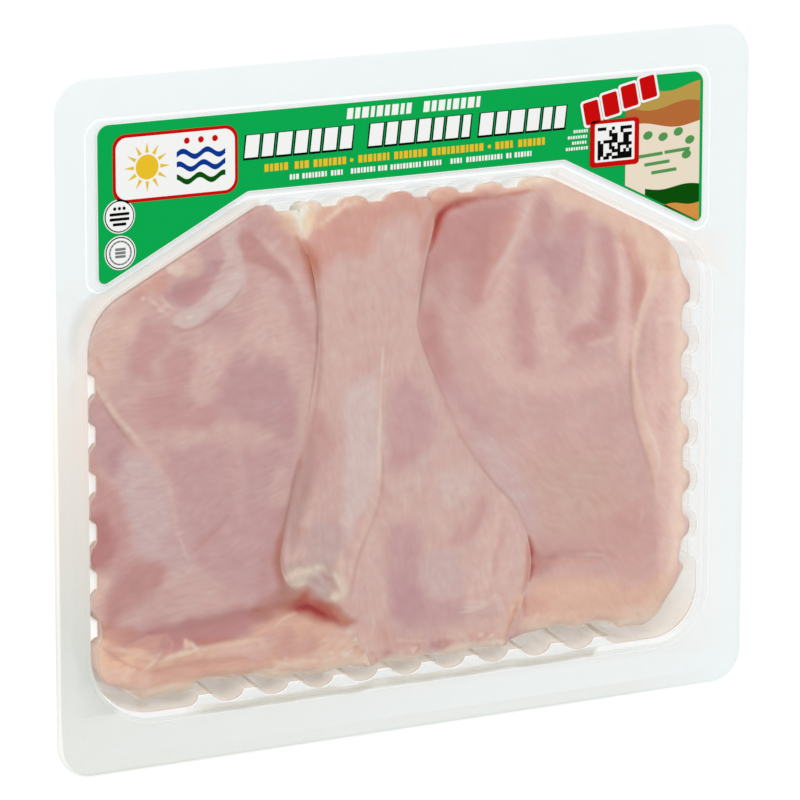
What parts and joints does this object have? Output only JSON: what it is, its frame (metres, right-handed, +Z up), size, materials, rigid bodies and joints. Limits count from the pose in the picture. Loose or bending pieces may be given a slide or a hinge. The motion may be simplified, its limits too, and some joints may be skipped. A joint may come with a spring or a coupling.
{
  "type": "sealed tray pack of raw chicken breasts",
  "caption": "Clear fluted tray with a flat flange, sealed by clear film over raw boneless chicken breasts, with a plain green label above the pocket.",
  "frame": {"origin": "centre of the bounding box's bottom face, under the tray's flat floor", "axes": "+X to the pack's right, +Y towards the labelled edge, +Z up out of the film"},
  "size_m": [0.284, 0.253, 0.0306],
  "materials": {
    "clear_tray": "clear thin thermoformed plastic, smooth",
    "clear_film": "clear glossy film, drawn tight",
    "label_card": "satin printed label, green with plain coloured shapes",
    "meat_left": "moist raw chicken breast",
    "meat_middle": "moist raw chicken breast",
    "meat_right": "moist raw chicken breast"
  },
  "bodies": {
    "root": {"tray": "clear_tray", "film": "clear_film", "label": "label_card", "breast_left": "meat_left", "breast_middle": "meat_middle", "breast_right": "meat_right"}
  },
  "joints": []
}
